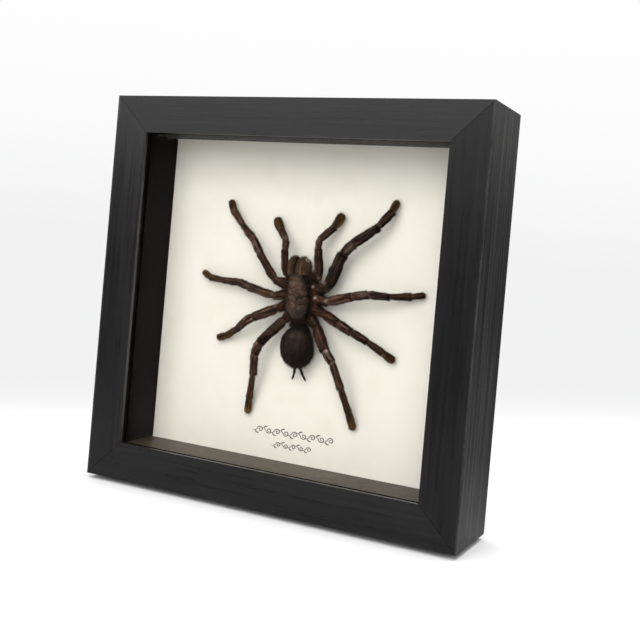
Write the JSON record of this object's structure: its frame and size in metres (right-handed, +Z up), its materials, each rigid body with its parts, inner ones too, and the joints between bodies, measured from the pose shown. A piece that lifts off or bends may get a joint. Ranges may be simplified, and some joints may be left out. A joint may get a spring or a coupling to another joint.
{
  "type": "framed tarantula specimen",
  "caption": "Dried tarantula mounted on a cream card inside a square, deep black wooden box frame with a glass front, standing on its lower rail.",
  "frame": {"origin": "middle of the underside of the bottom rail, halfway through the frame's depth", "axes": "+Z up, +X to the viewer's right, the glass and the spider's back face -Y"},
  "size_m": [0.2, 0.046, 0.2],
  "materials": {
    "frame_wood": "black stained wood, satin, straight grain showing",
    "glass": "clear picture glass",
    "spacer": "black painted wood strip, matt",
    "card": "cream mount board, faintly mottled, with a small printed flourish",
    "hardboard": "brown hardboard, smooth face",
    "steel": "zinc plated sheet steel",
    "rivet": "brass plated",
    "carapace": "dry brown shell under short tan hair",
    "abdomen_hair": "dense near-black velvety hair",
    "chelicera": "brown, finely striped with hair",
    "limb": "dark brown cuticle with brown bristles"
  },
  "bodies": {
    "root": {"rail_top": "frame_wood", "rail_bottom": "frame_wood", "rail_left": "frame_wood", "rail_right": "frame_wood", "glass": "glass", "spacer_top": "spacer", "spacer_bottom": "spacer", "spacer_left": "spacer", "spacer_right": "spacer", "backing_card": "card", "back_panel": "hardboard", "point_left_lower": "steel", "point_left_upper": "steel", "point_right_lower": "steel", "point_right_upper": "steel", "hanger": "steel", "rivet_left": "rivet", "rivet_right": "rivet", "cephalothorax": "carapace", "abdomen": "abdomen_hair", "chelicera_left": "chelicera", "chelicera_right": "chelicera", "palp_left": "limb", "palp_right": "limb", "leg_1_left": "limb", "leg_2_left": "limb", "leg_3_left": "limb", "leg_4_left": "limb", "leg_1_right": "limb", "leg_2_right": "limb", "leg_3_right": "limb", "leg_4_right": "limb"}
  },
  "joints": []
}
